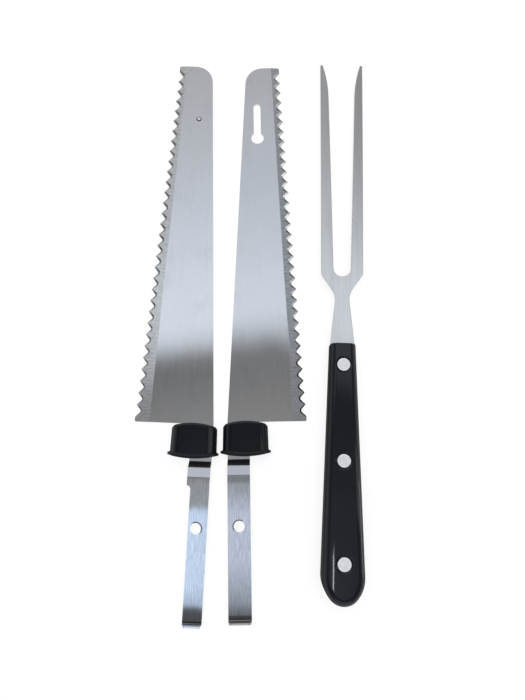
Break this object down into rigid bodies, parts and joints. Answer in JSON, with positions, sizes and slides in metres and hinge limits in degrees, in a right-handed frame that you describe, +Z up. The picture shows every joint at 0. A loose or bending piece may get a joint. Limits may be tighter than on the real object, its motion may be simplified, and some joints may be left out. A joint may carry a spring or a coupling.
{
  "type": "electric knife blades with carving fork",
  "caption": "Matched serrated electric-knife blades with drive shanks, moulded collars, guide rivet and keyhole, laid out beside a long-tined carving fork with a riveted black handle.",
  "frame": {"origin": "on the table under the middle of the laid-out set's bounding box", "axes": "+Y from the shanks and the fork's butt towards the blade tips and tines, +Z up from the table, +X from the blades towards the fork"},
  "size_m": [0.1236, 0.3026, 0.0155],
  "materials": {
    "blade_steel": "brushed stainless steel, flat ground with fine lines along the blade",
    "collar_plastic": "glossy black moulded plastic",
    "rivet_steel": "plain stainless steel, peened",
    "fork_steel": "satin stainless steel",
    "handle_plastic": "glossy black moulded plastic",
    "handle_rivet_metal": "satin, ground flush with the handle"
  },
  "bodies": {
    "left_blade_unit": {"left_blade": "blade_steel", "left_collar": "collar_plastic", "guide_rivet": "rivet_steel"},
    "right_blade_unit": {"right_blade": "blade_steel", "right_collar": "collar_plastic"},
    "fork": {"fork_steel": "fork_steel", "upper_scale": "handle_plastic", "lower_scale": "handle_plastic", "rear_rivet_cap": "handle_rivet_metal", "rear_rivet_pin": "handle_rivet_metal", "middle_rivet_cap": "handle_rivet_metal", "middle_rivet_pin": "handle_rivet_metal", "front_rivet_cap": "handle_rivet_metal", "front_rivet_pin": "handle_rivet_metal"}
  },
  "joints": [
    {"name": "right_blade_stroke", "type": "slide", "parent": "left_blade_unit", "child": "right_blade_unit", "axis": [-0.0175, 0.9998, 0], "range_m": [-0.00805, 0.0112]},
    {"name": "fork_lift", "type": "slide", "parent": "left_blade_unit", "child": "fork", "axis": [0, 0, 1], "range_m": [0, 0.06]}
  ]
}
